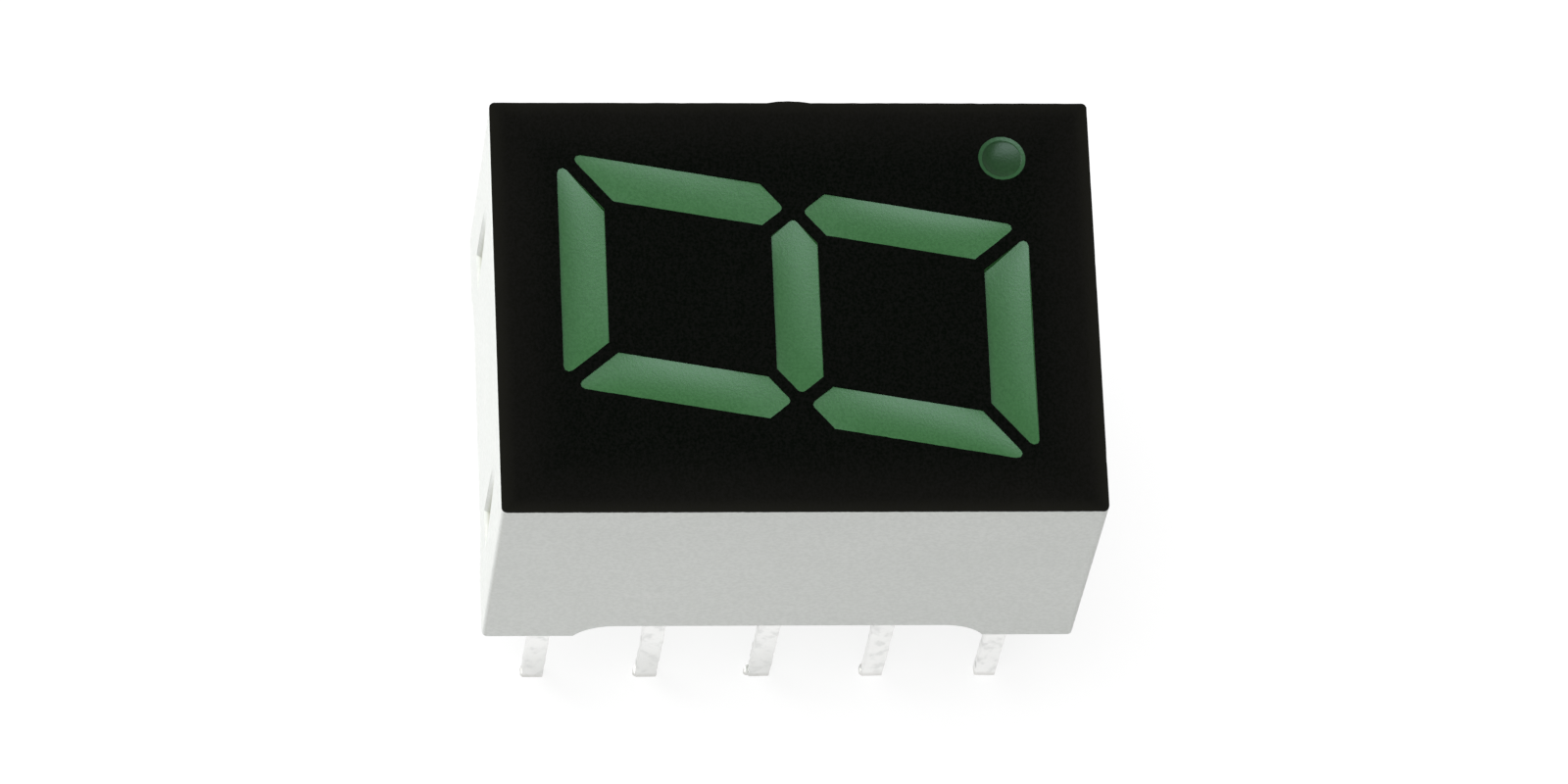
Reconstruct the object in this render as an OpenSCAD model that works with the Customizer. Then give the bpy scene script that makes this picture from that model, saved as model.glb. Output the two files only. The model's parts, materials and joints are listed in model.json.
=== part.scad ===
// Single digit seven segment LED display, 0.4 inch class, with five flat pins along each long side.
// Millimetres. +X is the digit's right, +Y its top and +Z points out of its face.
// The origin is at the middle of the footprint, on the plane of the pin tips.

/* [Body] */
// Distance from the middle of a pin row to the outside of its long wall
side_margin = 0.99; // [0.97:0.01:1.2]
// Distance from the middle of a row's end pin to the outside of the end wall
end_margin = 1.42; // [1.2:0.01:1.8]
// Height of the body, from its feet to its face
body_h = 7; // [6.4:0.1:8]
// Thickness of the walls round the rear cavity
wall_t = 0.5; // [0.4:0.02:0.52]
// Radius of the upright corners outside
corner_r = 0.12; // [0.05:0.01:0.3]
// Radius of the upright corners of the rear cavity
cavity_r = 0.4; // [0.2:0.05:0.8]
// Depth from the face to the back of the web, where the board seats
web_t = 3.9; // [3.6:0.1:4.1]
// How far the gate vestige stands off the long wall
gate_proud = 0.045; // [0.02:0.005:0.08]
// Length of the gate vestige along the wall
gate_l = 0.95; // [0.6:0.05:1.2]
// Height of the gate vestige, down from the face
gate_h = 0.9; // [0.5:0.1:1.5]

/* [Feet] */
// Length of a foot along the long walls
foot_l = 2; // [1.4:0.1:2.4]
// Length of a foot along the end walls
foot_w = 1.6; // [1.2:0.1:2]
// Rise of the arches between the feet
arch_rise = 0.55; // [0.3:0.05:0.7]
// Radius of the rounded ends of the arches
arch_r = 1; // [0.8:0.1:1.2]

/* [End scoops] */
// Distance of each scoop from the middle of its end wall
scoop_x = 3.05; // [2.6:0.05:3.4]
// Height of a scoop's lower ledge above the feet
scoop_low = 1.9; // [1.6:0.1:2.6]
// Height of a scoop, from its ledge to where it runs out
scoop_h = 3.7; // [2.8:0.1:3.7]
// Radius of a scoop
scoop_r = 0.48; // [0.3:0.02:0.6]
// Depth of a scoop at its ledge
scoop_depth = 0.3; // [0.15:0.01:0.32]

/* [Digit] */
// Height of the digit
digit_h = 10.16; // [9.6:0.02:10.6]
// Width of the digit, before it is slanted
digit_w = 5.54; // [5.2:0.02:5.8]
// Width of a segment's stroke
stroke_w = 1; // [0.8:0.02:1.2]
// Gap between neighbouring segments, square to their mitred ends
mitre_gap = 0.27; // [0.18:0.01:0.4]
// Slant of the digit, in degrees
slant = 10; // [4:0.5:12]
// Radius of the segments' corners
tip_r = 0.12; // [0.06:0.01:0.16]
// Diameter of the decimal point
point_d = 1.03; // [0.9:0.01:1.1]
// Distance from the middle of the decimal point to the outside of the right wall
point_side = 1.31; // [1.2:0.01:1.4]
// Distance from the middle of the decimal point to the outside of the bottom end wall
point_end = 1.91; // [1.8:0.01:2.1]

/* [Face and resin] */
// Thickness of the ink film on the face
ink_t = 0.05; // [0.03:0.01:0.1]
// Width of the flat rim round the dish in each segment
rim_w = 0.06; // [0.04:0.01:0.1]
// Depth of the dish in each segment
dish_depth = 0.05; // [0.02:0.01:0.1]
// Width of the flat floor of a segment's dish
dish_floor = 0.14; // [0.1:0.02:0.3]
// Width of the flat rim round the decimal point's dish
point_rim = 0.1; // [0.06:0.01:0.16]
// How far a light well's long sides draw in from the face to the board
pocket_sides = 0.12; // [0.06:0.01:0.14]
// Length of the foot of a segment's light well along its middle, before it is slanted
pocket_l = 1.3; // [1.2:0.05:2]
// Diameter of the foot of the decimal point's light well
point_pocket_d = 0.9; // [0.84:0.01:1]
// Depth of the resin potting below the board
potting_t = 1.3; // [0.8:0.1:1.6]

/* [Pins] */
// Distance from one pin to the next in a row
pitch = 2.54; // [2.4:0.02:2.8]
// Distance between the two rows
row_gap = 7.62; // [7.2:0.02:8.4]
// Length of a pin below the feet
pin_l = 4.5; // [3:0.1:6]
// Width of a pin, along its row
pin_w = 0.48; // [0.4:0.01:0.5]
// Thickness of a pin, across the rows
pin_t = 0.25; // [0.2:0.01:0.28]

/* [Board] */
// Thickness of the circuit board
board_t = 0.8; // [0.6:0.05:1]
// Gap between the board's edge and the cavity wall
board_clear = 0.05; // [0.02:0.01:0.08]
// Thickness of the copper foil
foil_t = 0.035; // [0.018:0.001:0.07]
// Diameter of a plated hole, inside its plating
hole_d = 0.6; // [0.58:0.01:0.62]
// Thickness of the plating in the holes
plating_t = 0.03; // [0.02:0.005:0.035]
// Width of the copper ring round a plated hole
ring_w = 0.09; // [0.06:0.01:0.1]
// Width of a track
track_w = 0.18; // [0.12:0.01:0.25]
// Diameter of a bond land
land_d = 0.3; // [0.22:0.01:0.34]
// Diameter of a die pad
die_pad_d = 0.4; // [0.38:0.01:0.44]
// Diameter of a via under a die pad
via_d = 0.2; // [0.15:0.01:0.3]
// Gap between the common plane and the rings of the signal pins
plane_gap = 0.12; // [0.08:0.01:0.3]
// Height of the solder fillets under the board
fillet_h = 0.3; // [0.15:0.05:0.5]
// How far a solder fillet spreads past its hole
fillet_spread = 0.06; // [0.03:0.01:0.08]

/* [LEDs] */
// Side of a die
die_w = 0.26; // [0.2:0.01:0.28]
// Height of a die
die_h = 0.2; // [0.12:0.01:0.3]
// Distance from the middle of a die to its bond land
bond_span = 0.45; // [0.4:0.01:0.48]
// Distance from the middle of a light well to the middle of its die
die_shift = 0.25; // [0.2:0.01:0.28]
// Rise of a bond wire's loop
loop_h = 0.25; // [0.15:0.01:0.4]
// Thickness of a bond wire
wire_t = 0.03; // [0.02:0.005:0.05]

/* [Hidden] */
SEGMENTS = ["a", "b", "c", "d", "e", "f", "g"];
LEDS = concat(SEGMENTS, ["point"]);
POINT = len(SEGMENTS);
// The pin of each LED, and the pins that all LEDs share
LED_PINS = [1, 9, 7, 5, 4, 2, 3, 6];
COMMON_PINS = [8, 10];
PINS = [1:10];
ROW_PINS = 5;

$fn = 48;
past = 0.5;
corner_steps = 3;
// Corners that turn by less than this stay as they are
sharp_turn = 80;
dish_steps = 4;
wire_steps = 10;
// Step along a bond wire that gives its direction
wire_look = 0.01;
// Lengths closer than this are the same
same = 0.001;
// Facets of the widest arcs
wide_fn = 96;

// Heights, from the pin tips up
feet_z = pin_l;
face_z = feet_z + body_h;
ink_z = face_z - ink_t;
board_top = face_z - web_t;
board_base = board_top - board_t;
potting_base = board_base - potting_t;

body_w = row_gap + 2 * side_margin;
body_l = (ROW_PINS - 1) * pitch + 2 * end_margin;
cavity_w = body_w - 2 * wall_t;
cavity_l = body_l - 2 * wall_t;
ring_d = hole_d + 2 * plating_t + 2 * ring_w;
gate_r = (gate_l * gate_l / 4 + gate_proud * gate_proud) / (2 * gate_proud);
dish_run = stroke_w / 2 - rim_w - dish_floor / 2;
point_dish_r = point_d / 2 - point_rim;

// ---- outlines of the segments, upright first and slanted last ----
half = stroke_w / 2;
side_x = (digit_w - stroke_w) / 2;
bar_y = (digit_h - stroke_w) / 2;
cut = mitre_gap * sin(45);

top_bar = [
    [-side_x + half + cut, bar_y - half],
    [side_x - half - cut, bar_y - half],
    [side_x + half - cut, bar_y + half],
    [-side_x - half + cut, bar_y + half]
];
upper_right = [
    [side_x, cut],
    [side_x + half, half + cut],
    [side_x + half, bar_y + half - cut],
    [side_x - half, bar_y - half - cut],
    [side_x - half, half + cut]
];
middle_bar = [
    [-side_x + cut, 0],
    [-side_x + half + cut, -half],
    [side_x - half - cut, -half],
    [side_x - cut, 0],
    [side_x - half - cut, half],
    [-side_x + half + cut, half]
];

function turned(points) = [for (p = points) -p];
function reversed(points) = [for (i = [len(points) - 1:-1:0]) points[i]];
function flipped(points) = reversed([for (p = points) [p[0], -p[1]]]);
function slanted(p) = [p[0] + p[1] * tan(slant), p[1]];

function corners(i) =
    i == 0 ? top_bar :
    i == 1 ? upper_right :
    i == 2 ? flipped(upper_right) :
    i == 3 ? turned(top_bar) :
    i == 4 ? turned(upper_right) :
    i == 5 ? turned(flipped(upper_right)) :
    middle_bar;

// Middle of each segment, upright
function middle(i) = [
    [0, bar_y], [side_x, bar_y / 2], [side_x, -bar_y / 2], [0, -bar_y],
    [-side_x, -bar_y / 2], [-side_x, bar_y / 2], [0, 0]
][i];
function is_bar(i) = i == 0 || i == 3 || i == 6;

// ---- convex outlines, counterclockwise ----
function unit(v) = v / norm(v);
function inward(v) = [-v[1], v[0]];
function run_in(points, i) = unit(points[i] - points[(i + len(points) - 1) % len(points)]);
function run_out(points, i) = unit(points[(i + 1) % len(points)] - points[i]);
// How a corner moves when the edge before it moves inwards by d and the edge after it by e
function corner_shift(u, v, d, e) =
    let (m = inward(u), n = inward(v))
    [d * n[1] - e * m[1], e * m[0] - d * n[0]] / (m[0] * n[1] - m[1] * n[0]);

// The outline with edge i, from corner i to the next, moved inwards by d[i]
function inset(points, d) = let (n = len(points)) [
    for (i = [0:n - 1])
        points[i] + corner_shift(run_in(points, i), run_out(points, i), d[(i + n - 1) % n], d[i])
];

// The outline with each sharp corner turned into an arc of radius r
function rounded(points, r) = [
    for (i = [0:len(points) - 1])
        let (
            u = run_in(points, i),
            v = run_out(points, i),
            centre = points[i] + corner_shift(u, v, r, r),
            from = atan2(-inward(u)[1], -inward(u)[0]),
            turn = acos(u * v)
        )
        if (turn < sharp_turn) points[i]
        else for (k = [0:corner_steps])
            centre + r * [cos(from + turn * k / corner_steps), sin(from + turn * k / corner_steps)]
];

// Outline of a segment, moved inwards by d all round
function segment_outline(i, d = 0, r = tip_r) =
    rounded(inset([for (p = corners(i)) slanted(p)], [for (p = corners(i)) d]), r);

// How far the foot of a light well stops short of each end of its segment
function draw_in(i) = ((is_bar(i) ? 2 * side_x : bar_y) - 2 * cut - pocket_l) / 2;
function shortened(i) = [
    for (p = corners(i))
        is_bar(i) ? p - [sign(p[0] - middle(i)[0]) * draw_in(i), 0] :
        p - [0, sign(p[1] - middle(i)[1]) * draw_in(i)]
];

// The foot of a segment's light well: as many corners, and every edge parallel to the face's
function pocket_outline(i) =
    let (
        p = shortened(i),
        n = len(p),
        in = [for (k = [0:n - 1]) is_side(p[k], p[(k + 1) % n]) ? pocket_sides : 0]
    )
    rounded(inset([for (q = p) slanted(q)], in), tip_r);
function is_side(p, q) = min(abs(p[0] - q[0]), abs(p[1] - q[1])) < same;

function at_height(points, z) = [for (p = points) [p[0], p[1], z]];

// The dish at step k: steep at the rim and level in the middle, with corners that tighten inwards
function dish_fall(k) = dish_depth * (1 - pow(1 - k / dish_steps, 2));
function dish_in(k) = rim_w + dish_run * k / dish_steps;
function dish_outline(i, k) = segment_outline(i, dish_in(k), tip_r * (1 - dish_in(k) / half));

// A well is open at both ends, so its cutter runs past them
function well_rings(i) = [
    at_height(pocket_outline(i), board_top - past),
    at_height(pocket_outline(i), board_top),
    at_height(segment_outline(i), ink_z),
    at_height(segment_outline(i), face_z + past)
];
function resin_rings(i) = concat(
    [at_height(pocket_outline(i), board_top)],
    [for (z = [ink_z, face_z]) at_height(segment_outline(i), z)],
    [for (k = [0:dish_steps]) at_height(dish_outline(i, k), face_z - dish_fall(k))]
);

// A closed skin through rings of as many points each
module loft(rings) {
    n = len(rings[0]);
    last = len(rings) - 1;
    polyhedron(
        points = [for (ring = rings) each ring],
        faces = concat(
            [[for (k = [0:n - 1]) k]],
            [for (r = [0:last - 1]) for (k = [0:n - 1])
                [r * n + k, (r + 1) * n + k, (r + 1) * n + (k + 1) % n, r * n + (k + 1) % n]],
            [[for (k = [n - 1:-1:0]) last * n + k]]
        )
    );
}

// ---- places of the pins and the LEDs ----
function pin_at(n) =
    n <= ROW_PINS ?
        [-row_gap / 2, ((ROW_PINS + 1) / 2 - n) * pitch] :
        [row_gap / 2, (n - ROW_PINS - (ROW_PINS + 1) / 2) * pitch];
function is_common(n) = len(search(n, COMMON_PINS)) > 0;

function point_at() = [body_w / 2 - point_side, point_end - body_l / 2];
function well_middle(i) = i == POINT ? point_at() : slanted(middle(i));
// Direction from a die to its bond land
function bond_angle(i) =
    i == POINT ? atan2((pin_at(LED_PINS[i]) - point_at())[1], (pin_at(LED_PINS[i]) - point_at())[0]) :
    is_bar(i) ? 180 : 90 - slant;
function along_bond(i, d) = d * [cos(bond_angle(i)), sin(bond_angle(i))];
function die_at(i) = well_middle(i) - along_bond(i, die_shift);
function land_at(i) = die_at(i) + along_bond(i, bond_span);

// ---- shared shapes ----
module round_plate(w, l, r) {
    square([w - 2 * r, l], center = true);
    square([w, l - 2 * r], center = true);
    for (x = [-1, 1], y = [-1, 1]) translate([x * (w / 2 - r), y * (l / 2 - r)]) circle(r);
}

module gate() {
    translate([body_w / 2 + gate_proud - gate_r, 0]) circle(gate_r, $fn = wide_fn);
}

// Cutter for the arch under a pair of opposite walls, along X
module arch(span) {
    flat = span - 2 * sqrt(arch_r * arch_r - pow(arch_r - arch_rise, 2));
    reach = body_w + body_l;
    translate([0, 0, feet_z + arch_rise - arch_r]) {
        cube([flat, reach, 2 * arch_r], center = true);
        for (x = [-1, 1])
            translate([x * flat / 2, 0, 0]) rotate([90, 0, 0]) cylinder(h = reach, r = arch_r, center = true);
    }
}

// Cutter for one scoop in the end wall at +Y: a cylinder that leans into the wall towards its ledge
module scoop() {
    lean = atan(scoop_depth / scoop_h);
    translate([0, body_l / 2 + scoop_r, feet_z + scoop_low + scoop_h])
        rotate([180 - lean, 0, 0]) cylinder(h = scoop_h / cos(lean), r = scoop_r);
}

module point_resin() {
    translate([0, 0, board_top]) cylinder(h = ink_z - board_top, r1 = point_pocket_d / 2, r2 = point_d / 2);
    translate([0, 0, ink_z]) cylinder(h = ink_t, r = point_d / 2);
}

module point_well() {
    point_resin();
    translate([0, 0, board_top - past]) cylinder(h = past, r = point_pocket_d / 2);
    translate([0, 0, face_z]) cylinder(h = past, r = point_d / 2);
}

module at_pins(pins) {
    for (n = pins) translate(pin_at(n)) children();
}

module shank(z0) {
    translate([-pin_t / 2, -pin_w / 2, z0]) cube([pin_t, pin_w, board_top - z0]);
}

// Fill of a plated hole with the fillet under it
module solder() {
    translate([0, 0, board_base]) cylinder(h = board_t, r = hole_d / 2);
    translate([0, 0, board_base - fillet_h])
        cylinder(h = fillet_h, r1 = hole_d / 2, r2 = hole_d / 2 + fillet_spread);
}

// Plated hole with a copper ring on both sides of the board
module plated_hole() {
    translate([0, 0, board_base]) cylinder(h = board_t, r = hole_d / 2 + plating_t);
    for (z = [board_base, board_top - foil_t]) translate([0, 0, z]) cylinder(h = foil_t, r = ring_d / 2);
}

module track(from, to) {
    run = to - from;
    translate([from[0], from[1], board_top - foil_t])
        rotate([0, 0, atan2(run[1], run[0])])
            translate([0, -track_w / 2, 0]) cube([norm(run), track_w, foil_t]);
}

module bores() {
    at_pins(PINS) translate([0, 0, board_base - past]) cylinder(h = board_t + 2 * past, r = hole_d / 2);
}

module signal_copper() {
    for (i = [0:POINT]) {
        track(land_at(i), pin_at(LED_PINS[i]));
        translate([land_at(i)[0], land_at(i)[1], board_top - foil_t]) cylinder(h = foil_t, r = land_d / 2);
        translate(pin_at(LED_PINS[i])) plated_hole();
    }
}

module common_copper() {
    plane_w = row_gap - ring_d - 2 * plane_gap;
    plane_l = (ROW_PINS - 1) * pitch + ring_d;
    translate([-plane_w / 2, -plane_l / 2, board_base]) cube([plane_w, plane_l, foil_t]);
    for (n = COMMON_PINS) {
        translate(pin_at(n)) plated_hole();
        translate([0, pin_at(n)[1] - ring_d / 2, board_base]) cube([row_gap / 2, ring_d, foil_t]);
    }
    for (i = [0:POINT]) translate(die_at(i)) {
        translate([0, 0, board_base]) cylinder(h = board_t, r = via_d / 2);
        for (z = [board_base, board_top - foil_t])
            translate([0, 0, z]) cylinder(h = foil_t, r = die_pad_d / 2);
    }
}

module die(i) {
    translate([die_at(i)[0], die_at(i)[1], board_top])
        rotate([0, 0, bond_angle(i)]) translate([-die_w / 2, -die_w / 2, 0]) cube([die_w, die_w, die_h]);
}

// Side view of a bond wire: straight up from the die, over, and down on the land
function wire_line(t) = [
    bond_span * (1 - cos(180 * t)) / 2,
    die_h * (1 - t) + loop_h * sin(180 * t)
];
// Across the wire at t, level at its two ends
function wire_across(t) =
    t == 0 ? [-1, 0] :
    t == 1 ? [1, 0] :
    inward(unit(wire_line(t + wire_look) - wire_line(t - wire_look)));
function wire_side(t, side) = wire_line(t) + side * wire_t / 2 * wire_across(t);

module wire(i) {
    steps = [for (k = [0:wire_steps]) k / wire_steps];
    translate([die_at(i)[0], die_at(i)[1], board_top])
        rotate([90, 0, bond_angle(i)])
            translate([0, 0, -wire_t / 2])
                linear_extrude(wire_t)
                    polygon(concat(
                        [for (t = steps) wire_side(t, 1)],
                        reversed([for (t = steps) wire_side(t, -1)])
                    ));
}

// ---- sub-parts ----
module reflector_housing() {
    color("white") difference() {
        union() {
            translate([0, 0, feet_z]) linear_extrude(body_h - ink_t) round_plate(body_w, body_l, corner_r);
            translate([0, 0, face_z - gate_h]) linear_extrude(gate_h - ink_t) gate();
        }
        translate([0, 0, feet_z - past])
            linear_extrude(board_top - feet_z + past) round_plate(cavity_w, cavity_l, cavity_r);
        arch(body_w - 2 * foot_w);
        rotate([0, 0, 90]) arch(body_l - 2 * foot_l);
        for (x = [-1, 1], y = [0, 1])
            translate([x * scoop_x, 0, 0]) mirror([0, y, 0]) scoop();
        for (i = [0:POINT - 1]) loft(well_rings(i));
        translate(point_at()) point_well();
    }
}

module face_mask() {
    color("black") translate([0, 0, ink_z]) linear_extrude(ink_t) difference() {
        union() {
            round_plate(body_w, body_l, corner_r);
            gate();
        }
        for (i = [0:POINT - 1]) polygon(segment_outline(i));
        translate(point_at()) circle(point_d / 2);
    }
}

module segment(i) {
    color("seagreen") difference() {
        loft(resin_rings(i));
        die(i);
        wire(i);
    }
}

module decimal_point() {
    dish_r = (point_dish_r * point_dish_r + dish_depth * dish_depth) / (2 * dish_depth);
    color("seagreen") difference() {
        translate(point_at()) point_resin();
        translate(point_at()) translate([0, 0, face_z - dish_depth + dish_r]) sphere(dish_r, $fn = wide_fn);
        die(POINT);
        wire(POINT);
    }
}

module circuit_board() {
    color("darkgreen") difference() {
        translate([0, 0, board_base]) linear_extrude(board_t)
            round_plate(cavity_w - 2 * board_clear, cavity_l - 2 * board_clear, cavity_r);
        signal_copper();
        common_copper();
        bores();
    }
}

module signal_tracks() {
    color("darkorange") difference() {
        signal_copper();
        bores();
    }
}

module common_conductor() {
    color("peru") difference() {
        common_copper();
        bores();
    }
}

module led(i) {
    color("gold") die(i);
}

module bond_wire(i) {
    color("goldenrod") wire(i);
}

module pin(n) {
    color("lightgray") translate(pin_at(n)) shank(0);
}

module solder_joints() {
    color("silver") at_pins(PINS) difference() {
        solder();
        shank(board_base - fillet_h - past);
    }
}

module back_potting() {
    color("mediumseagreen") difference() {
        translate([0, 0, potting_base])
            linear_extrude(potting_t) round_plate(cavity_w, cavity_l, cavity_r);
        at_pins(PINS) {
            shank(potting_base - past);
            solder();
        }
    }
}

reflector_housing();
face_mask();
for (i = [0:POINT - 1]) segment(i);
decimal_point();
circuit_board();
signal_tracks();
common_conductor();
for (i = [0:POINT]) led(i);
for (i = [0:POINT]) bond_wire(i);
for (n = PINS) pin(n);
solder_joints();
back_potting();
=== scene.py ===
"""Looks of a single digit seven segment display: finishes, softened edges, resin, pins, light and camera.

Metres, in the frame of the CAD model: +X is the digit's right, +Y its top and +Z points out of its face.
"""

import json
import math

import bpy
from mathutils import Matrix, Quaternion, Vector

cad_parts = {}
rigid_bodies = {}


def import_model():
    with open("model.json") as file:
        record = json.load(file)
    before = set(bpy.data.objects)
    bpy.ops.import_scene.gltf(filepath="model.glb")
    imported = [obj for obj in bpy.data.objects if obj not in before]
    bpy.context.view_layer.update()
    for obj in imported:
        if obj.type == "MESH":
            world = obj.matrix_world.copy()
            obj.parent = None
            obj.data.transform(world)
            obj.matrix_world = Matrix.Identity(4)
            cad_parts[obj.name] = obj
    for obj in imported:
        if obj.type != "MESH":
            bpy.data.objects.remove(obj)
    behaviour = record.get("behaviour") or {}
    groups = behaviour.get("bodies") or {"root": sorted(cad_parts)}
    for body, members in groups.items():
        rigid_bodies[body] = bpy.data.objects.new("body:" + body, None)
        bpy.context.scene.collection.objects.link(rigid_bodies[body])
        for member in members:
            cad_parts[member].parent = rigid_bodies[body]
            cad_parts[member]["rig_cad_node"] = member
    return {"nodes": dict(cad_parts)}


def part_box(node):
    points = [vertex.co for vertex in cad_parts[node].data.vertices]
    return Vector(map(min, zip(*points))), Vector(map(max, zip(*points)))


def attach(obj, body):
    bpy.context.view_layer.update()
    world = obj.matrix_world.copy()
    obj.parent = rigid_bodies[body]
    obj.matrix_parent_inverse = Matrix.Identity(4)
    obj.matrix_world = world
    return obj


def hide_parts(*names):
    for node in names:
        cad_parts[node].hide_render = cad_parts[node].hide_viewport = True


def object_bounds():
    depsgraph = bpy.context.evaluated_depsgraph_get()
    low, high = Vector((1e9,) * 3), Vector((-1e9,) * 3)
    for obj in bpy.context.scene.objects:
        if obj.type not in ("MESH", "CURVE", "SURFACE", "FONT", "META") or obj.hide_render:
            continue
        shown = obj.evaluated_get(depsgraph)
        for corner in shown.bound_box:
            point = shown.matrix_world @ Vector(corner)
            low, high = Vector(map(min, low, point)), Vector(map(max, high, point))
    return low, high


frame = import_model()
cad_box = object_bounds()
nodes = frame["nodes"]

MM = 0.001
SEGMENTS = "abcdefg"
PINS = range(1, 11)

FACE_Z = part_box("face_mask")[1].z
INK_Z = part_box("face_mask")[0].z
FEET_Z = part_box("reflector_housing")[0].z
FACE_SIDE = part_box("face_mask")[1].x
FACE_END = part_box("face_mask")[1].y
BODY_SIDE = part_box("reflector_housing")[1].x
BODY_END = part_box("reflector_housing")[1].y


# ---- shader values as plain expressions ----


class Socket:
    """One value in a node tree, which adds, multiplies and compares as a number does."""

    def __init__(self, nodes, socket):
        self.nodes = nodes
        self.socket = socket

    def _math(self, operation, *values):
        return self.nodes.node("ShaderNodeMath", {"operation": operation}, dict(enumerate(values)))

    def __add__(self, other):
        return self._math("ADD", self, other)

    __radd__ = __add__

    def __sub__(self, other):
        return self._math("SUBTRACT", self, other)

    def __rsub__(self, other):
        return self._math("SUBTRACT", other, self)

    def __mul__(self, other):
        return self._math("MULTIPLY", self, other)

    __rmul__ = __mul__

    def __lt__(self, other):
        return self._math("LESS_THAN", self, other)

    def __abs__(self):
        return self._math("ABSOLUTE", self)

    def smaller(self, other):
        return self._math("MINIMUM", self, other)

    def larger(self, other):
        return self._math("MAXIMUM", self, other)


class Nodes:
    """A node tree that is built up node by node. Sizes on the piece are in millimetres."""

    def __init__(self, tree):
        self.tree = tree

    def node(self, kind, settings=None, inputs=None, output=0):
        """Adds a node: its settings first, then the values or links of its sockets. Gives one output."""
        node = self.tree.nodes.new(kind)
        for name, value in (settings or {}).items():
            setattr(node, name, value)
        for key, value in (inputs or {}).items():
            if isinstance(value, Socket):
                self.tree.links.new(value.socket, node.inputs[key])
            elif value is not None:
                node.inputs[key].default_value = value
        return Socket(self, node.outputs[output])

    def place(self, stretch=(1, 1, 1)):
        """Where a point is on the piece."""
        spot = self.node("ShaderNodeTexCoord", output="Object")
        scale = [s / MM for s in stretch]
        return self.node("ShaderNodeVectorMath", {"operation": "MULTIPLY"}, {0: spot, 1: scale})

    def along(self, axis):
        """Distance along an axis from the origin."""
        return self.node("ShaderNodeSeparateXYZ", None, {0: self.place()}, "XYZ".index(axis))

    def inward(self, side, end):
        """How far a point lies inside an outline that reaches side across and end along, given in metres."""
        return (side / MM - abs(self.along("X"))).smaller(end / MM - abs(self.along("Y")))

    def cloud(self, size, detail=2, stretch=(1, 1, 1)):
        """Soft noise from 0 to 1, in blots of about that size."""
        inputs = {"Vector": self.place(stretch), "Scale": 1 / size, "Detail": detail, "Roughness": 0.55}
        return self.node("ShaderNodeTexNoise", None, inputs)

    def grain(self, size, detail=2):
        """Fine noise with more contrast than a cloud."""
        return self.fade(self.cloud(size, detail), 0.3, 0.7)

    def specks(self, spacing, size, stretch=(1, 1, 1), share=0.5):
        """Round specks from 0 to 1 on a scattered grid; share of the places have one."""
        cell = {"Vector": self.place(stretch), "Scale": 1 / spacing, "Randomness": 1}
        reach = self.node("ShaderNodeTexVoronoi", None, cell, "Distance")
        pick = self.node("ShaderNodeTexVoronoi", None, cell, "Color")
        chance = self.node("ShaderNodeSeparateColor", None, {0: pick})
        dot = self.fade(reach, size / spacing, 0.4 * size / spacing)
        return dot * (chance < share)

    def fade(self, value, start, end):
        """0 at start and 1 at end, with a soft change between."""
        inputs = {"Value": value, "From Min": start, "From Max": end}
        return self.node("ShaderNodeMapRange", {"interpolation_type": "SMOOTHSTEP"}, inputs)

    def mix(self, amount, first, second):
        """A colour between first and second."""
        first, second = (c if isinstance(c, Socket) else (*c, 1) for c in (first, second))
        return self.node("ShaderNodeMix", {"data_type": "RGBA"}, {0: amount, 6: first, 7: second}, 2)

    def coats(self, colour, *layers):
        """A colour with others laid over it in turn, each given as how much of it there is and what it is."""
        for amount, other in layers:
            colour = self.mix(amount, colour, other)
        return colour

    def bump(self, height, depth, under=None):
        """A surface raised by height times depth."""
        inputs = {"Height": height, "Distance": depth * MM, "Normal": under}
        return self.node("ShaderNodeBump", None, inputs)


def label(word):
    """The label of a shader's input, from its name as a Python word."""
    return word.replace("_", " ").title().replace("Ior", "IOR")


class Finish(Nodes):
    """A material: what is the same all over is given first, such as metallic=1."""

    def __init__(self, name, **fixed):
        self.material = bpy.data.materials.new(name)
        self.material.use_nodes = True
        super().__init__(self.material.node_tree)
        self.shader = self.tree.nodes["Principled BSDF"]
        for word, value in fixed.items():
            self.shader.inputs[label(word)].default_value = value

    def wear(self, **varying):
        """Links what changes over the surface to the shader, such as roughness=grain. Gives the material."""
        for word, value in varying.items():
            self.tree.links.new(value.socket, self.shader.inputs[label(word)])
        return self.material


# ---- finishes ----


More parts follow.
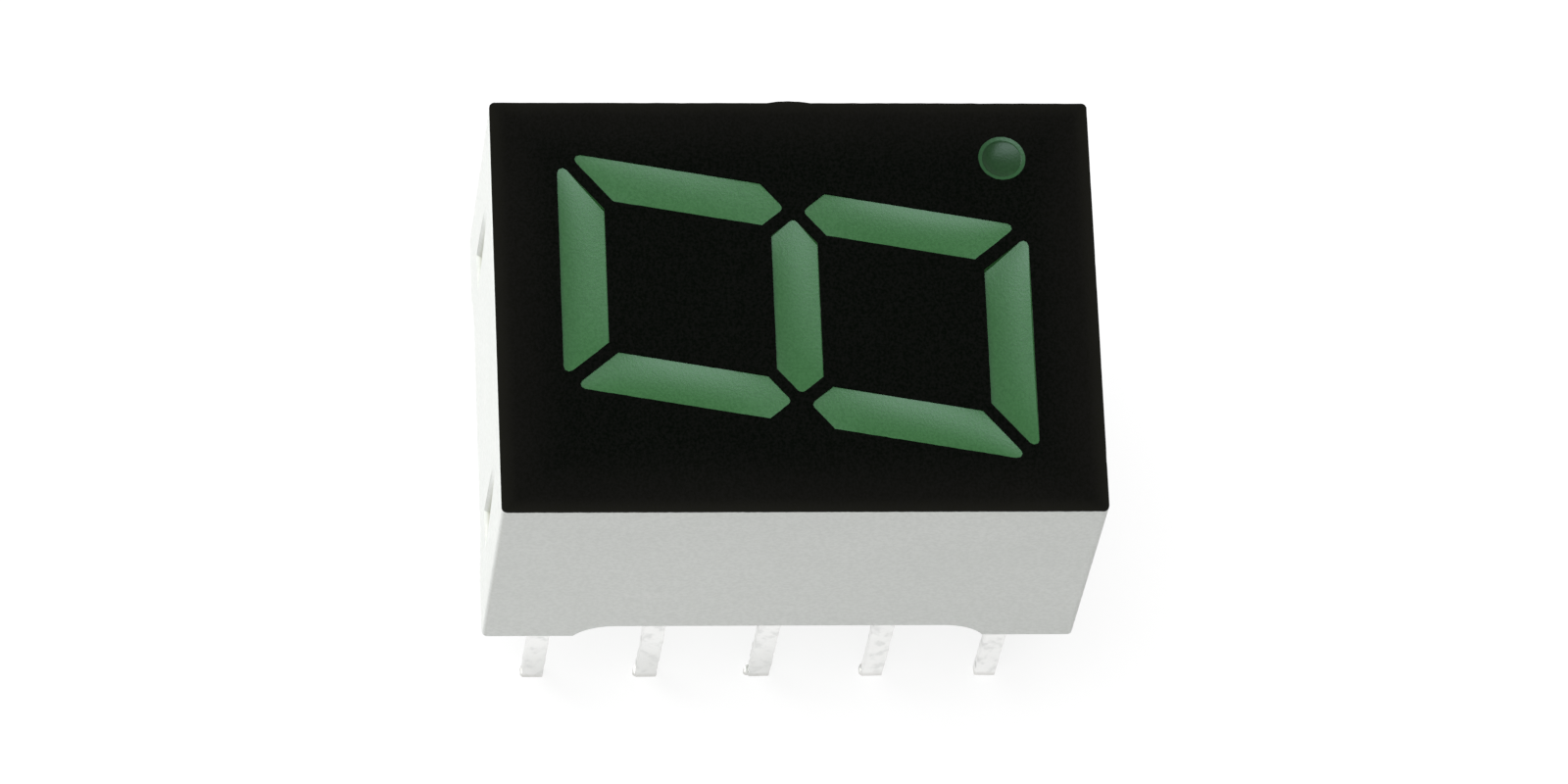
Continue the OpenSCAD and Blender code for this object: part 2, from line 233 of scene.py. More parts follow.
def moulded_white():
    """White moulded plastic: spark grain, flow marks, specks, painted shade in the scoops and hollows, resin
    on the well walls darkened as painted shade, and ink on the top edge.
    """
    dull, bright, streak = (0.81, 0.835, 0.805), (0.87, 0.89, 0.86), (0.9, 0.91, 0.89)
    # hollow is painted shade: a greyer, yellower white for the scoops and the other hollows
    pitted, dirt, hollow = (0.70, 0.72, 0.69), (0.25, 0.24, 0.22), (0.545, 0.555, 0.475)
    # resin is partly a real film that wets the upper well walls and partly painted shade, darkened to the
    # fill's deep green
    resin, ink = (0.011, 0.07, 0.012), (0.012, 0.012, 0.011)
    ink_base = INK_Z / MM
    f = Finish("moulded_white", specular_ior_level=0.4)
    grain = f.grain(0.09, 3)
    flow = f.cloud(1.6, 3, (1, 0.35, 1))
    smear = f.fade(f.cloud(0.9, 2, (1, 0.3, 1.4)), 0.62, 0.75)
    specks = f.specks(1.9, 0.035, share=0.4)
    height = f.along("Z")
    inward = f.inward(BODY_SIDE, BODY_END)
    # painted shade: 1 away from the outer walls, in the scoops, the undersides and the insides
    painted_shade_in_hollows = f.fade(inward, 0.03, 0.12)
    # the upper well walls: wetted by resin, and painted with shade as dark as the fill
    wet_well_painted_shade = f.fade(inward, 0.15, 0.2) * f.fade(height, ink_base - 0.4, ink_base - 0.2)
    ragged = height + f.cloud(0.11, 3) * 0.045
    inked = f.fade(ragged, ink_base - 0.005, ink_base + 0.02)
    white = f.coats(
        f.mix(flow, dull, bright),
        (smear * 0.5, streak),
        (grain * 0.42, pitted),
        (specks * 0.6, dirt),
        (painted_shade_in_hollows * 0.9, hollow),
        (wet_well_painted_shade, resin),
        (inked, ink),
    )
    return f.wear(
        base_color=white,
        roughness=0.42 + grain * 0.16,
        normal=f.bump(grain, 0.003, f.bump(flow, 0.01)),
    )


def screen_ink():
    """Matt black ink: fine mesh grain, painted sheen that makes it lighter and a little browner towards its
    outline, a painted highlight along its very edge, and a few pale pinholes.
    """
    # The colours for the border and for the edge are painted sheen and a painted highlight on the ink's
    # rounded edge, over a nearly black middle
    middle, border, painted_edge_highlight = (0.0002, 0.001, 0.0002), (0.0045, 0.0045, 0.0035), (0.0095, 0.0095, 0.007)
    mesh, thick, bare = (0.0125, 0.012, 0.0115), (0.001, 0.001, 0.001), (0.16, 0.16, 0.15)
    f = Finish("screen_ink", specular_ior_level=0.012)
    grain = f.grain(0.06)
    patch = f.cloud(1.4)
    inward = f.inward(FACE_SIDE, FACE_END)
    pinholes = f.specks(0.55, 0.022, share=0.16) * f.fade(inward, 0.2, 0)
    # painted sheen lightens the ink towards its outline, and a painted highlight lies within 0.4 mm of its
    # edge
    black = f.coats(
        f.mix(f.fade(inward, 1.7, 0), middle, border),
        (f.fade(inward, 0.4, 0), painted_edge_highlight),
        (grain * 0.32, mesh),
        (patch * 0.3, thick),
        (pinholes, bare),
    )
    return f.wear(
        base_color=black,
        roughness=0.5 + grain * 0.25,
        normal=f.bump(grain, 0.002, f.bump(patch, 0.004)),
    )


def green_resin(name="green_resin", light=1.0, gloss=0.5, rough=0.38, edge=0.2):
    """Green diffusing epoxy with a soft gloss: cloudy, grainy, with a few dark specks, and a paler edge that
    is a painted reflection of the white well wall.

    light scales its colours, below 1 as painted shade, and edge is how much of the painted reflection there
    is where the piece's "rim" is 1.
    """
    shades = ((0.0065, 0.066, 0.005), (0.011, 0.079, 0.009), (0.026, 0.112, 0.025), (0.003, 0.018, 0.003))
    deep, pale, dust, speck = (tuple(light * part for part in shade) for shade in shades)
    # a painted reflection of the white well wall, laid where the piece's rim attribute is 1
    painted_wall_reflection = (0.04, 0.14, 0.05)
    f = Finish(name, specular_ior_level=gloss, specular_tint=(0.8, 1, 1, 1))
    cloudy = f.cloud(1.3, 3)
    ripple = f.cloud(0.55)
    powder = f.grain(0.06)
    specks = f.specks(1.1, 0.03, share=0.35)
    rim = f.node("ShaderNodeAttribute", {"attribute_name": "rim"}, output="Fac")
    green = f.coats(
        f.mix(cloudy, deep, pale),
        (powder * 0.5, dust),
        (specks * 0.7, speck),
        (rim * edge, painted_wall_reflection),
    )
    return f.wear(
        base_color=green,
        roughness=rough + powder * 0.06,
        normal=f.bump(powder, 0.0012, f.bump(ripple, 0.003)),
    )


def tinned_pin():
    """Dip tinned steel: bright and lumpy, with grey smudges, flux spots, a duller tail and a sheared tip."""
    thin, thick, frosted = (0.86, 0.86, 0.85), (0.94, 0.94, 0.925), (0.70, 0.71, 0.70)
    grey, dulled = (0.64, 0.65, 0.64), (0.5, 0.51, 0.49)
    flux, sheared = (0.38, 0.39, 0.38), (0.64, 0.63, 0.61)
    f = Finish("tinned_pin")
    lumps = f.cloud(0.5, 2, (1, 1, 0.6))
    frost = f.cloud(0.06)
    smudge = f.fade(f.cloud(0.28, 2, (1, 1, 0.8)), 0.45, 0.7)
    spots = f.specks(0.55, 0.11, (1, 1, 0.8), 0.45)
    height = f.along("Z")
    tip = f.fade(height + frost * 0.06, 0.3, 0.1)
    tail = f.fade(height + smudge * 0.5, 2.4, 0.4) * f.fade(f.along("Y"), -2, -0.4)
    tin = f.coats(
        f.mix(lumps, thin, thick),
        (frost * 0.12, frosted),
        (smudge * 0.45, grey),
        (tail * 0.35, dulled),
        (spots * 0.55, flux),
        (tip * 0.5, sheared),
    )
    return f.wear(
        base_color=tin,
        metallic=1 - spots * 0.4,
        roughness=0.32 + smudge * 0.2 + spots * 0.2 + tip * 0.3,
        normal=f.bump(frost, 0.001, f.bump(lumps, 0.02)),
    )


def solder_alloy():
    """Bright solder that has run up the pins."""
    f = Finish("solder_alloy", metallic=1)
    frost = f.cloud(0.05, 3)
    return f.wear(
        base_color=f.mix(frost, (0.62, 0.63, 0.64), (0.8, 0.8, 0.79)),
        roughness=0.22 + frost * 0.25,
        normal=f.bump(frost, 0.003),
    )


def copper_foil():
    """Etched copper, a little oxidised in patches."""
    f = Finish("copper_foil", metallic=1)
    stain = f.cloud(0.5, 3)
    return f.wear(
        base_color=f.mix(stain, (0.72, 0.34, 0.20), (0.48, 0.24, 0.16)),
        roughness=0.28 + stain * 0.25,
        normal=f.bump(f.cloud(0.03), 0.001),
    )


def board_laminate():
    """Glass laminate: a woven cloth under green varnish."""
    f = Finish("board_laminate", specular_ior_level=0.45)
    threads = {"Vector": f.place(), "Scale": 0.7, "Distortion": 0.4}
    across, along = (f.node("ShaderNodeTexWave", {"bands_direction": way}, threads) for way in "XY")
    cloth = across * along
    return f.wear(
        base_color=f.mix(cloth, (0.16, 0.21, 0.09), (0.24, 0.29, 0.13)),
        roughness=0.4 + cloth * 0.15,
        normal=f.bump(cloth, 0.006),
    )


def led_crystal():
    """Gallium phosphide chip: amber, glassy, darker at its sawn sides."""
    f = Finish("led_crystal", specular_ior_level=0.9)
    sawn = f.cloud(0.02, 3, (1, 1, 4))
    return f.wear(
        base_color=f.mix(sawn, (0.62, 0.50, 0.10), (0.36, 0.27, 0.06)),
        roughness=0.15 + sawn * 0.35,
        normal=f.bump(sawn, 0.001),
    )


def gold_wire():
    """Drawn gold wire."""
    f = Finish("gold_wire", metallic=1)
    drawn = f.cloud(0.01, 2, (1, 1, 0.2))
    return f.wear(
        base_color=f.mix(drawn, (0.95, 0.70, 0.30), (0.84, 0.58, 0.22)),
        roughness=0.14 + drawn * 0.12,
        normal=f.bump(drawn, 0.0005),
    )


FINISHES = {
    "reflector_white": moulded_white(),
    "black_ink": screen_ink(),
    "green_resin": green_resin(),
    "tinned_metal": tinned_pin(),
    "solder": solder_alloy(),
    "copper_foil": copper_foil(),
    "board_laminate": board_laminate(),
    "led_crystal": led_crystal(),
    "gold_wire": gold_wire(),
}


# ---- working on meshes ----

KINDS = {"vertices": "VERT", "edges": "EDGE", "polygons": "FACE"}

# How near two points are to count as one, and how level two faces are to be joined
MERGE = 0.0002 * MM
LEVEL_ANGLE = math.radians(0.3)

# How far from a height still counts as at that height, finely and coarsely
TOUCH = 0.001 * MM
NEAR = 0.01 * MM

# The part of a face's normal that has to lie along a direction for the face to look that way
FACING = 0.5

# Degrees: an edge bent more than this is a corner
CORNER = 60


def choose(piece, kind, wanted):
    """Selects the vertices, edges or polygons for which wanted(one) is true, in edit mode. Gives how many."""
    bpy.ops.object.mode_set(mode="EDIT")
    bpy.ops.mesh.select_mode(type=KINDS[kind])
    bpy.ops.mesh.select_all(action="DESELECT")
    bpy.ops.object.mode_set(mode="OBJECT")
    chosen = [part for part in getattr(piece.data, kind) if wanted(part)]
    for part in chosen:
        part.select = True
    bpy.ops.object.mode_set(mode="EDIT")
    return len(chosen)


def take(piece):
    """Makes a piece the only one that operators work on, in object mode."""
    if bpy.context.object and bpy.context.object.mode != "OBJECT":
        bpy.ops.object.mode_set(mode="OBJECT")
    bpy.ops.object.select_all(action="DESELECT")
    piece.select_set(True)
    bpy.context.view_layer.objects.active = piece


def face_outwards():
    """Turns every face of the piece in edit mode outwards."""
    bpy.ops.mesh.select_all(action="SELECT")
    bpy.ops.mesh.normals_make_consistent(inside=False)


def merged_copy(node, name, whole_faces=True):
    """A copy of a CAD node to be worked on, with its triangles joined, into whole faces where wanted."""
    take(nodes[node])
    bpy.ops.object.duplicate()
    piece = bpy.context.object
    piece.name = piece.data.name = name
    del piece["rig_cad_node"]
    bpy.ops.object.mode_set(mode="EDIT")
    bpy.ops.mesh.select_all(action="SELECT")
    bpy.ops.mesh.customdata_custom_splitnormals_clear()
    bpy.ops.mesh.remove_doubles(threshold=MERGE)
    if whole_faces:
        bpy.ops.mesh.dissolve_limited(angle_limit=LEVEL_ANGLE)
    bpy.ops.object.mode_set(mode="OBJECT")
    return piece


def ends_of(piece, edge):
    """Where an edge's two ends are."""
    return (piece.data.vertices[i].co for i in edge.vertices)


def middle_of(piece, edge):
    """The middle of an edge."""
    first, second = ends_of(piece, edge)
    return (first + second) / 2


def run_of(piece, edge):
    """An edge's direction and length, from its first end to its second."""
    first, second = ends_of(piece, edge)
    return second - first


def normals_by_edge(piece):
    """The normals of the faces at each edge, by the edge's key."""
    if piece.mode != "OBJECT":
        bpy.ops.object.mode_set(mode="OBJECT")
    sides = {}
    for face in piece.data.polygons:
        for key in face.edge_keys:
            sides.setdefault(key, []).append(face.normal.copy())
    return sides


def open_edges(piece):
    """The keys of the edges that only one face has."""
    return {key for key, normals in normals_by_edge(piece).items() if len(normals) == 1}


def creases(piece, angle):
    """The keys of the edges where two faces meet more sharply than angle, in degrees."""
    limit = math.cos(math.radians(angle))
    pairs = {key: normals for key, normals in normals_by_edge(piece).items() if len(normals) == 2}
    return {key for key, (first, second) in pairs.items() if first.dot(second) < limit}


def done(piece, slot_name, *replaced, finish=None, smooth=30, flat=False):
    """Gives a piece its shading, finish and body, and hides the CAD nodes it stands for. Flat keeps large
    faces even.
    """
    take(piece)
    bpy.ops.object.shade_smooth_by_angle(angle=math.radians(smooth))
    if flat:
        even = piece.modifiers.new("even", "WEIGHTED_NORMAL")
        even.keep_sharp = True
        even.weight = 100
        bpy.ops.object.modifier_apply(modifier=even.name)
    piece.data.materials.clear()
    piece.data.materials.append(finish or FINISHES[slot_name])
    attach(piece, "root")
    if replaced:
        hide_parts(*replaced)
    return piece


# ---- resin in the light wells ----

# How far under the ink a fill is cut off, and up to what length the edges of its new outline are closed up
FILL_DROP = 0.001 * MM
SHORT_EDGE = 0.002 * MM

# How deep each fill is dished, and how far the fills of the cross bars have sunk as well, in millimetres
DISHES = {"a": 0.053, "b": 0.034, "c": 0.06, "d": 0.06, "e": 0.06, "f": 0.058, "g": 0.055}
SINKS = {"a": 0.12, "b": 0, "c": 0, "d": 0.185, "e": 0, "f": 0, "g": 0.135}

# How far below the ink the faces of a fill's top can lie
TOP_REACH = 0.1 * MM

# How quickly the dish and the sink deepen from the well's sides and ends, and which edges count as those
SIDE_REACH = 0.42 * MM
END_REACH = 0.7 * MM
SINK_REACH = 0.75 * MM
LONG_EDGE = 0.2 * MM

# The squares that a fill's top is cut into, and how near a point has to be for a cut to go through it
GRID = 0.09 * MM
CUT = 0.0001 * MM

# The point's fill, from its border to its middle
POINT_DROP = 0.012 * MM
POINT_RING = 0.08 * MM
POINT_SLOPE = 0.014 * MM
POINT_STEP = 0.015 * MM
POINT_BOWL = 0.075 * MM
POINT_STEPS = 8
POINT_LEAN = 0.022 * MM


def on_top(face):
    """Whether a face belongs to a fill's top."""
    return face.center.z > INK_Z - TOP_REACH and face.normal.z > FACING


def rim_of(piece, face):
    """The long edges of a level face, longest first: each edge's start, its direction and its length."""
    points = [piece.data.vertices[i].co.to_2d() for i in face.vertices]
    edges = [(a, (b - a).normalized(), (b - a).length) for a, b in zip(points, points[1:] + points[:1])]
    return sorted((edge for edge in edges if edge[2] > LONG_EDGE), key=lambda edge: -edge[2])


def dish_share(point, rim):
    """How far down the dish is at a point, as a share: 0 at the rim, growing slowly from the ends."""
    share = 1
    for start, along, length in rim:
        away = along.cross(point - start)
        reach = SIDE_REACH if length > rim[0][2] / 2 else END_REACH
        share *= 1 - math.exp(-max(away, 0) / reach)
    return share


def sink_share(point, along, ends):
    """How far a cross bar's fill has sunk at a point: 0 at the well's two ends, nearly 1 between them."""
    place = point.dot(along)
    return math.prod(1 - math.exp(-abs(place - end) / SINK_REACH) for end in ends)


def level_top(piece, height):
    """Cuts a fill off level at a height and closes it there with one face, left selected."""
    bpy.ops.object.mode_set(mode="EDIT")
    bpy.ops.mesh.select_all(action="SELECT")
    bpy.ops.mesh.bisect(plane_co=(0, 0, height), plane_no=(0, 0, 1), clear_outer=True, threshold=CUT)
    bpy.ops.mesh.select_all(action="SELECT")
    bpy.ops.mesh.remove_doubles(threshold=SHORT_EDGE)
    outline = open_edges(piece)
    choose(piece, "edges", lambda e: e.key in outline)
    bpy.ops.mesh.edge_face_add()
    face_outwards()
    choose(piece, "polygons", on_top)


def cut_into_squares(low, high):
    """Cuts the piece in edit mode along a grid between two corners of its box."""
    for axis in (0, 1):
        cuts = round((high[axis] - low[axis]) / GRID)
        for k in range(1, cuts):
            spot, way = [0, 0, 0], [0, 0, 0]
            spot[axis], way[axis] = low[axis] + (high[axis] - low[axis]) * k / cuts, 1
            bpy.ops.mesh.select_all(action="SELECT")
            bpy.ops.mesh.bisect(plane_co=spot, plane_no=way, threshold=CUT)


def segment_fill(letter):
    """The resin in one light well: it starts under the ink, is dished, and in the cross bars has sunk too."""
    node = f"segment_{letter}"
    piece = merged_copy(node, f"resin_{letter}")
    level_top(piece, INK_Z - FILL_DROP)
    bpy.ops.object.mode_set(mode="OBJECT")
    level = max((f for f in piece.data.polygons if on_top(f)), key=lambda f: f.area)
    rim = rim_of(piece, level)
    along = rim[0][1]
    places = [piece.data.vertices[i].co.to_2d().dot(along) for i in level.vertices]
    ends = min(places), max(places)
    bpy.ops.object.mode_set(mode="EDIT")
    cut_into_squares(*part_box(node))
    bpy.ops.object.mode_set(mode="OBJECT")
    inside = {i for face in piece.data.polygons if on_top(face) for i in face.vertices}
    inside -= {i for face in piece.data.polygons if not on_top(face) for i in face.vertices}
    top = [v for v in piece.data.vertices if v.co.z > INK_Z - 2 * FILL_DROP]
    dishes = [dish_share(v.co.to_2d(), rim) if v.index in inside else 0 for v in top]
    rims = piece.data.attributes.new("rim", "FLOAT", "POINT")
    for vertex, dish in zip(top, dishes):
        rims.data[vertex.index].value = vertex.index not in inside
        sunk = SINKS[letter] * sink_share(vertex.co.to_2d(), along, ends)
        vertex.co.z -= (sunk + DISHES[letter] * dish / max(dishes)) * MM
    return done(piece, "green_resin", node)


def point_fill():
    """The resin in the point's narrow well: a sloping ring, a small step down, then a bowl off its middle."""
    piece = merged_copy("decimal_point", "resin_point")
    level_top(piece, INK_Z - FILL_DROP)
    bpy.ops.transform.translate(value=(0, 0, FACE_Z - POINT_DROP - INK_Z + FILL_DROP))
    bpy.ops.mesh.inset(thickness=POINT_RING, depth=-POINT_SLOPE)
    bpy.ops.mesh.inset(thickness=POINT_STEP, depth=-POINT_STEP)
    low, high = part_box("decimal_point")
    middle, radius = (low + high) / 2, (high.x - low.x) / 2
    bowl = radius - POINT_RING - POINT_STEP
    for k in range(POINT_STEPS - 1):
        outer, inner = 1 - k / POINT_STEPS, 1 - (k + 1) / POINT_STEPS
        bpy.ops.mesh.inset(thickness=bowl / POINT_STEPS, depth=-POINT_BOWL * (outer**2 - inner**2))
        bpy.ops.transform.translate(value=(0, POINT_LEAN, 0))
    bpy.ops.object.mode_set(mode="OBJECT")
    rims = piece.data.attributes.new("rim", "FLOAT", "POINT")
    for vertex in piece.data.vertices:
        rims.data[vertex.index].value = (vertex.co - middle).to_2d().length > bowl + POINT_STEP / 2
    # The point's fill takes a darker copy of the resin, at light 0.36: painted shade for its narrow well,
    # with its own gloss, roughness and paler rim
    narrow = green_resin("green_resin_point", light=0.36, gloss=0.24, rough=0.29, edge=0.3)
    return done(piece, "green_resin", "decimal_point", finish=narrow)


for letter in SEGMENTS:
    segment_fill(letter)
point_fill()


# ---- ink film ----

# How long the pieces of the film's outline are, how far they stray and by what draw, and how round its rim is
PRINT_STEP = 0.22 * MM
PRINT_RAGGED = 0.006 * MM
PRINT_SEED = 7
PRINT_ROUND = 0.012 * MM


def ink_film():
    """The printed film: its outline a little uneven, as a screen print's is, and its edges rounded."""
    piece = merged_copy("face_mask", "ink_film", whole_faces=False)
    choose(piece, "polygons", lambda f: f.normal.z < FACING)
    bpy.ops.mesh.delete(type="FACE")
    outline = open_edges(piece)
    while choose(piece, "edges", lambda e: e.key in outline and run_of(piece, e).length > PRINT_STEP):
        bpy.ops.mesh.subdivide(number_cuts=1)
        outline = open_edges(piece)
    bpy.ops.mesh.select_all(action="SELECT")
    bpy.ops.transform.vertex_random(offset=PRINT_RAGGED, seed=PRINT_SEED)
    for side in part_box("face_mask"):
        for axis, flatten in ((0, (0, 1, 1)), (1, (1, 0, 1))):
            way = math.copysign(1, side[axis])
            if choose(piece, "vertices", lambda v: way * v.co[axis] > way * side[axis]):
                bpy.ops.transform.resize(value=flatten, center_override=side)
    choose(piece, "edges", lambda e: e.key not in outline)
    bpy.ops.mesh.delete(type="EDGE_FACE")
    bpy.ops.mesh.select_all(action="SELECT")
    bpy.ops.transform.resize(value=(1, 1, 0), center_override=(0, 0, FACE_Z))
    bpy.ops.mesh.fill(use_beauty=True)
    bpy.ops.mesh.select_all(action="SELECT")
    bpy.ops.mesh.extrude_region_move(TRANSFORM_OT_translate={"value": (0, 0, INK_Z - FACE_Z)})
    face_outwards()
    rim = creases(piece, CORNER)
    choose(piece, "edges", lambda e: e.key in rim and middle_of(piece, e).z > FACE_Z - TOUCH)
    bpy.ops.mesh.bevel(offset=PRINT_ROUND, segments=2, clamp_overlap=True)
    return done(piece, "black_ink", "face_mask", smooth=10)


ink_film()


# ---- housing ----

# The radius of the feet's and arches' edges, from what bend in degrees they have one, and up to what height
MOULD_RADIUS = 0.035 * MM
MOULD_BEND = 35
FEET_HEIGHT = 1 * MM


def housing():
    """The moulded body, with the small radii that a mould gives its feet and arches."""
    piece = merged_copy("reflector_housing", "housing")
    sharp = creases(piece, MOULD_BEND)
    choose(piece, "edges", lambda e: e.key in sharp and middle_of(piece, e).z < FEET_Z + FEET_HEIGHT)
    bpy.ops.mesh.bevel(offset=MOULD_RADIUS, segments=2, clamp_overlap=True)
    return done(piece, "reflector_white", "reflector_housing", flat=True)


housing()


# ---- pins ----

PIN_LOW, PIN_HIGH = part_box("pin_1")
PIN_RADIUS = 0.035 * MM
PIN_RINGS = 48

# How far the burr at a pin's tip stands out, in millimetres, where it starts, and how it is drawn out:
# each time by a share of its length, and narrower by a factor
BURRS = {1: 0.03, 2: 0.05, 3: 0.11, 4: 0.04, 7: 0.06, 9: 0.1}
BURR_HEIGHT = 0.2 * MM
BURR_FACING = 0.9
BURR_ROOT = Vector((0.1, 0, 0.04)) * MM
BURR_DRAWS = ((0.5, 0.9), (0.3, 0.85), (0.2, 0.6))

# The lumps of tin, and how high above its tip a pin is flattened to a level end
TIN_DEPTH = 0.05 * MM
TIN_LUMPS = bpy.data.textures.new("tin_lumps", "CLOUDS")
TIN_LUMPS.noise_scale = 0.35 * MM
TIP_HEIGHT = 0.03 * MM


def pin_blank():
    """A flat pin, modelled once: cut into rings so that its tin can be uneven, its long edges rounded."""
    middle = (PIN_LOW + PIN_HIGH) / 2
    bpy.ops.object.select_all(action="DESELECT")
    bpy.ops.mesh.primitive_cube_add(size=1, location=middle)
    blank = bpy.context.object
    bpy.ops.object.mode_set(mode="EDIT")
    bpy.ops.transform.resize(value=PIN_HIGH - PIN_LOW, center_override=middle)
    take(blank)
    bpy.ops.object.transform_apply(location=True, rotation=False, scale=False)
    choose(blank, "edges", lambda e: abs(run_of(blank, e).z) > NEAR)
    bpy.ops.mesh.subdivide(number_cuts=PIN_RINGS)
    sharp = creases(blank, CORNER)
    choose(blank, "edges", lambda e: e.key in sharp and abs(run_of(blank, e).z) > NEAR)
    bpy.ops.mesh.bevel(offset=PIN_RADIUS, segments=3)
    take(blank)
    return blank


def pin(number, blank):
    """A copy of the blank in its place: its own lumps of tin, and the burr the shears left at its tip."""
    take(blank)
    bpy.ops.object.duplicate()
    piece = bpy.context.object
    piece.name = piece.data.name = f"tinned_pin_{number}"
    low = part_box(f"pin_{number}")[0]
    bpy.ops.object.mode_set(mode="EDIT")
    bpy.ops.mesh.select_all(action="SELECT")
    bpy.ops.transform.translate(value=low - PIN_LOW)
    if number in BURRS:
        choose(piece, "polygons", lambda f: f.normal.y > BURR_FACING and f.center.z < low.z + BURR_HEIGHT)
        for share, narrower in BURR_DRAWS:
            out = (0, share * BURRS[number] * MM, 0)
            bpy.ops.mesh.extrude_region_move(TRANSFORM_OT_translate={"value": out})
            bpy.ops.transform.resize(value=(narrower, 1, narrower), center_override=low + BURR_ROOT)
    bpy.ops.object.mode_set(mode="OBJECT")
    coat = piece.modifiers.new("tin", "DISPLACE")
    coat.texture = TIN_LUMPS
    coat.texture_coords = "LOCAL"
    coat.strength = TIN_DEPTH
    bpy.ops.object.modifier_apply(modifier="tin")
    choose(piece, "vertices", lambda v: v.co.z < low.z + TIP_HEIGHT)
    bpy.ops.transform.resize(value=(1, 1, 0), center_override=(0, 0, low.z))
    return done(piece, "tinned_metal", f"pin_{number}", smooth=50)


blank = pin_blank()
for number in PINS:
    pin(number, blank)
bpy.data.objects.remove(blank)


# ---- potting ----

# How finely the surface is divided, across and along, and how far it climbs, within what distance
POTTING_CELLS = 96, 132
CLIMB = 0.28 * MM
CLIMB_REACH = 0.22 * MM


def edge_gap(point, low, high):
    """How far a point is from the outline of a box, across or along."""
    return min(point.x - low.x, high.x - point.x, point.y - low.y, high.y - point.y)


def potting():
    """The epoxy that closes the back: a slightly hollow surface that climbs the walls and the pins."""
    low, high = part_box("back_potting")
    middle, size = (low + high) / 2, high - low
    across, along = POTTING_CELLS
    bpy.ops.object.select_all(action="DESELECT")
    bpy.ops.mesh.primitive_grid_add(
        x_subdivisions=across, y_subdivisions=along, size=1, location=(middle.x, middle.y, high.z)
    )
    piece = bpy.context.object
    piece.name = piece.data.name = "potting"
    bpy.ops.object.mode_set(mode="EDIT")
    bpy.ops.transform.resize(value=(size.x, size.y, 1), center_override=middle)
    take(piece)
    bpy.ops.object.transform_apply(location=True, rotation=False, scale=False)
    bpy.ops.object.mode_set(mode="EDIT")
    bpy.ops.mesh.select_all(action="SELECT")
    bpy.ops.mesh.extrude_region_move(TRANSFORM_OT_translate={"value": (0, 0, low.z - high.z)})
    face_outwards()
    bpy.ops.object.mode_set(mode="OBJECT")
    pins = [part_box(f"pin_{number}") for number in PINS]
    for vertex in piece.data.vertices:
        if vertex.co.z > low.z + NEAR:
            continue
        gaps = [max(edge_gap(vertex.co, low, high), 0)]
        gaps += [max(-edge_gap(vertex.co, *box), 0) for box in pins]
        climb = sum(math.exp(-gap / CLIMB_REACH) for gap in gaps)
        vertex.co.z -= CLIMB * min(climb, 1)
    return done(piece, "green_resin", "back_potting", smooth=60)


potting()


# ---- everything else keeps its solid and gets its finish ----

for node in nodes.values():
    if not node.hide_render:
        slot_name = node.material_slots[0].material.name.split(".")[0]
        node.material_slots[0].material = FINISHES[slot_name]


# ---- camera, light and floor ----

# Degrees: how high the camera stands, how far round from +X, and how far its picture is turned
CAMERA_ELEVATION, CAMERA_AZIMUTH, CAMERA_ROLL = 65.72, 166.31, 12.45
CAMERA_AIM = Vector((-0.5 * MM, 0, FACE_Z - 3.5 * MM))
CAMERA_DISTANCE = 215.87 * MM

# Millimetres, as Blender gives a lens
LENS, SENSOR = 227.64, 36

# Metres
LAMP_DISTANCE = 0.25
FLOOR_SIZE = 4


def stand(thing, towards):
    """Turns a lamp or a camera so that it looks back along towards."""
    thing.rotation_mode = "QUATERNION"
    thing.rotation_quaternion = towards.to_track_quat("Z", "Y")


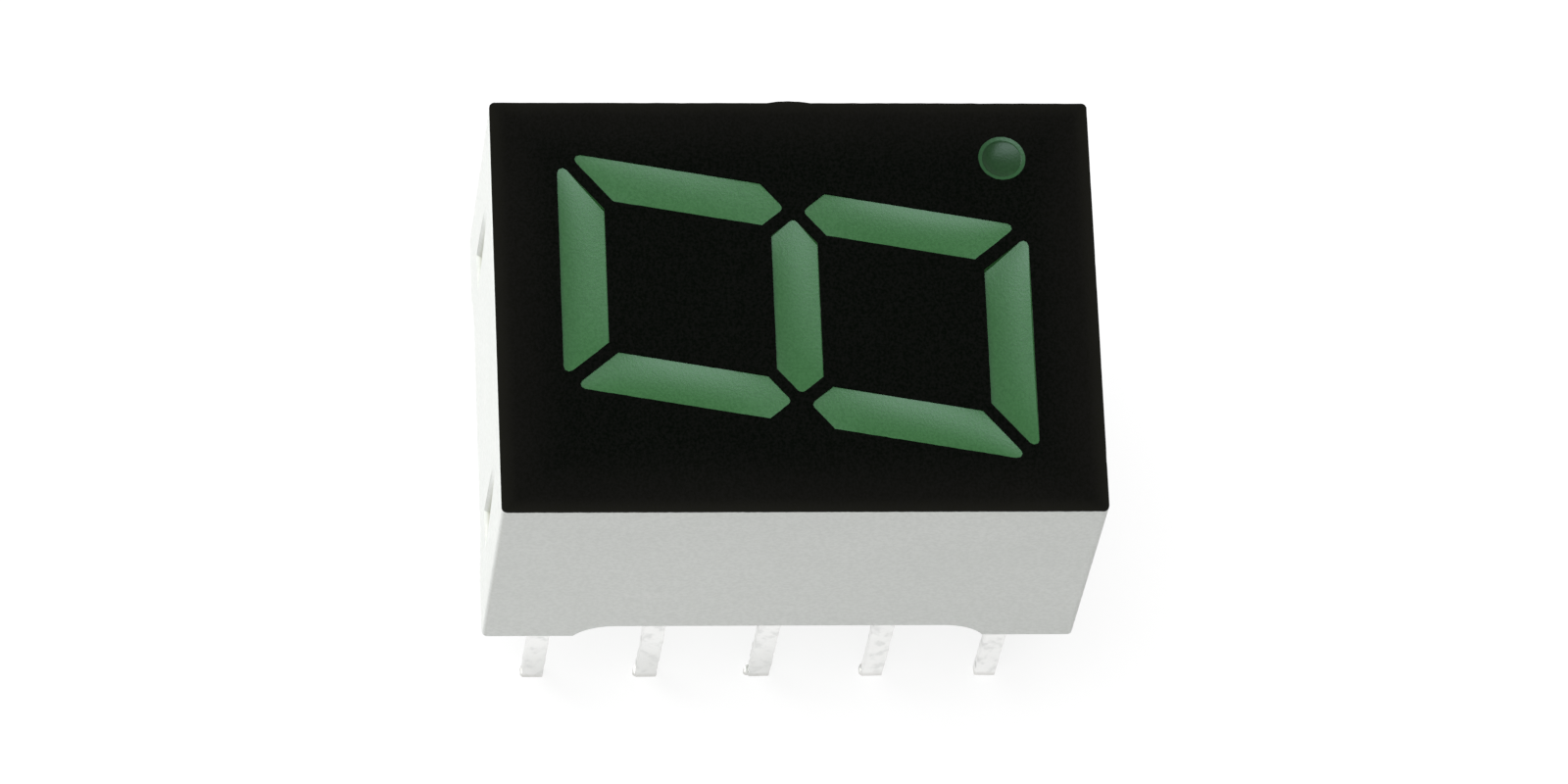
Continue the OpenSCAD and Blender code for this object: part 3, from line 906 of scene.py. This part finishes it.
def add_camera():
    """Looks down at the face from beyond the digit's left side, with the picture turned a little."""
    elevation, azimuth = math.radians(CAMERA_ELEVATION), math.radians(CAMERA_AZIMUTH)
    flat = math.cos(elevation)
    back = Vector((math.cos(azimuth) * flat, math.sin(azimuth) * flat, math.sin(elevation)))
    bpy.ops.object.camera_add(location=CAMERA_AIM + back * CAMERA_DISTANCE)
    camera = bpy.context.object
    stand(camera, back)
    camera.rotation_quaternion = camera.rotation_quaternion @ Quaternion((0, 0, 1), math.radians(CAMERA_ROLL))
    camera.data.lens = LENS
    camera.data.sensor_width = SENSOR
    camera.data.clip_start = 10 * MM
    bpy.context.scene.camera = camera


def add_softbox(name, towards, size, watts):
    """A round lamp, its size in millimetres, that faces the part's middle from the direction towards."""
    middle = (cad_box[0] + cad_box[1]) / 2
    towards = Vector(towards).normalized()
    bpy.ops.object.light_add(type="AREA", location=middle + towards * LAMP_DISTANCE)
    lamp = bpy.context.object
    lamp.name = name
    stand(lamp, towards)
    lamp.data.shape = "DISK"
    lamp.data.size = size * MM
    lamp.data.energy = watts
    lamp.visible_camera = False


def seen(f):
    """1 where a camera, glossy or transmitted ray looks, and 0 where light is gathered."""
    kinds = ("Is Camera Ray", "Is Glossy Ray", "Is Transmission Ray")
    camera, glossy, transmitted = (f.node("ShaderNodeLightPath", output=kind) for kind in kinds)
    return camera.larger(glossy).larger(transmitted)


def grey(value):
    """A colour without hue."""
    return (value, value, value)


def add_floor():
    """A pale floor under the pins, lifted to white for the eye, that keeps the part's shadow."""
    bpy.ops.mesh.primitive_plane_add(size=FLOOR_SIZE, location=(0, 0, cad_box[0].z))
    floor = bpy.context.object
    floor.name = "floor"
    f = Finish("pale_floor", specular_ior_level=0, roughness=1, emission_strength=1)
    looked_at = seen(f)
    f.wear(
        base_color=f.mix(looked_at, grey(0.75), grey(0.2)),
        emission_color=f.mix(looked_at, grey(0), grey(0.85)),
    )
    floor.data.materials.append(f.material)


def add_world():
    """An even pale surround: white to the eye, dimmer as a source of light."""
    world = bpy.data.worlds.new("surround")
    bpy.context.scene.world = world
    world.use_nodes = True
    f = Nodes(world.node_tree)
    white = f.mix(seen(f), grey(0.235), grey(1))
    f.tree.links.new(white.socket, f.tree.nodes["Background"].inputs["Color"])


bpy.ops.object.select_all(action="DESELECT")
add_camera()
add_softbox("key_softbox", towards=(-0.08, 0.163, 0.983), size=202, watts=0.57)
add_softbox("side_softbox", towards=(0.5, 0.8, 0.33), size=160, watts=0.31)
add_floor()
add_world()
bpy.context.scene.view_settings.view_transform = "Standard"
